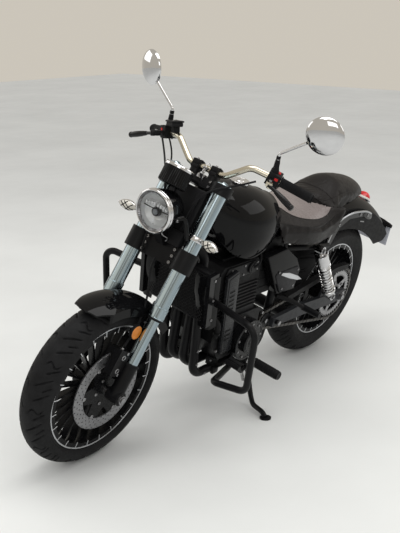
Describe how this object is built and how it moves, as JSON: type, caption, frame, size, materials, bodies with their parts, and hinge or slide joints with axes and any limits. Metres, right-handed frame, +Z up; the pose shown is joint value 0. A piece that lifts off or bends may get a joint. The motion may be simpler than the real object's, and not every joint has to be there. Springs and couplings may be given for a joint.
{
  "type": "cruiser motorcycle",
  "caption": "Cruiser motorcycle with round headlight, upside-down fork, cast wheels, low seat, crash bars and radiator, leaning on its side stand.",
  "frame": {"origin": "middle of the box on the floor, under the engine", "axes": "+X ahead along the wheelbase, +Y to the rider's left, +Z up"},
  "size_m": [2.1462, 1.0006, 1.3709],
  "materials": {
    "amber_lens": "gloss",
    "bar_silver": "polished",
    "black_plastic": "matte",
    "chrome": "polished",
    "clear_glass": "clear",
    "fork_silver": "brushed",
    "gloss_black": "gloss",
    "grey_alloy": "satin",
    "plate_grey": "satin",
    "red_lens": "gloss",
    "rubber": "matte",
    "satin_black": "satin",
    "seat_leather": "satin",
    "shiny_plastic": "gloss",
    "steel": "brushed",
    "tyre": "matte",
    "wheel_black": "gloss"
  },
  "bodies": {
    "chassis": {"main_frame": "satin_black", "swingarm": "satin_black", "rear_axle": "steel", "shock_bodies": "chrome", "shock_springs": "chrome", "crankcase": "satin_black", "cylinders": "satin_black", "slotted_covers": "satin_black", "engine_side_covers": "satin_black", "radiator": "grey_alloy", "radiator_shrouds": "black_plastic", "exhaust_headers": "steel", "muffler": "chrome", "fuel_tank": "gloss_black", "rider_seat": "seat_leather", "pillion_seat": "seat_leather", "side_covers": "gloss_black", "rear_fender": "gloss_black", "fender_struts": "fork_silver", "tail_light": "red_lens", "plate_bracket": "shiny_plastic", "number_plate": "plate_grey", "crash_bars": "satin_black", "rider_pegs": "rubber", "passenger_pegs": "rubber", "chain": "steel", "chain_guard": "black_plastic", "tank_cap": "chrome", "swingarm_pivot": "steel"},
    "fork": {"fork_outer_tubes": "fork_silver", "fork_inner_tubes": "chrome", "fork_feet": "satin_black", "lower_clamp": "satin_black", "upper_clamp": "satin_black", "front_axle": "steel", "front_fender": "gloss_black", "headlight_bucket": "chrome", "headlight_lens": "clear_glass", "gauge": "black_plastic", "handlebar": "bar_silver", "hand_grips": "rubber", "switch_housings": "black_plastic", "hand_levers": "satin_black", "mirror_stalks": "chrome", "mirror_heads": "chrome", "front_indicators": "chrome", "brake_caliper": "satin_black", "brake_reservoir": "black_plastic", "front_reflectors": "amber_lens"},
    "front_wheel": {"front_tyre": "tyre", "front_rim": "wheel_black", "front_disc": "steel"},
    "rear_wheel": {"rear_tyre": "tyre", "rear_rim": "wheel_black", "rear_sprocket": "steel", "rear_disc": "steel"},
    "side_stand": {"side_stand": "satin_black"}
  },
  "joints": [
    {"name": "steering", "type": "hinge", "parent": "chassis", "child": "fork", "pos_m": [0.44363, -0.0203, 0.82462], "axis": [-0.4569, 0.2188, 0.8622], "range_deg": [-38, 38]},
    {"name": "front_wheel_axle", "type": "hinge", "parent": "fork", "child": "front_wheel", "pos_m": [0.77607, -0.15528, 0.29275], "axis": [0, 0.9693, -0.246], "continuous": true},
    {"name": "rear_wheel_axle", "type": "hinge", "parent": "chassis", "child": "rear_wheel", "pos_m": [-0.62393, -0.14955, 0.31535], "axis": [0, 0.9693, -0.246], "continuous": true},
    {"name": "side_stand_pivot", "type": "hinge", "parent": "chassis", "child": "side_stand", "pos_m": [0.03104, -0.07106, 0.16116], "axis": [0.1006, 0.3878, 0.9162], "range_deg": [0, 95]}
  ]
}
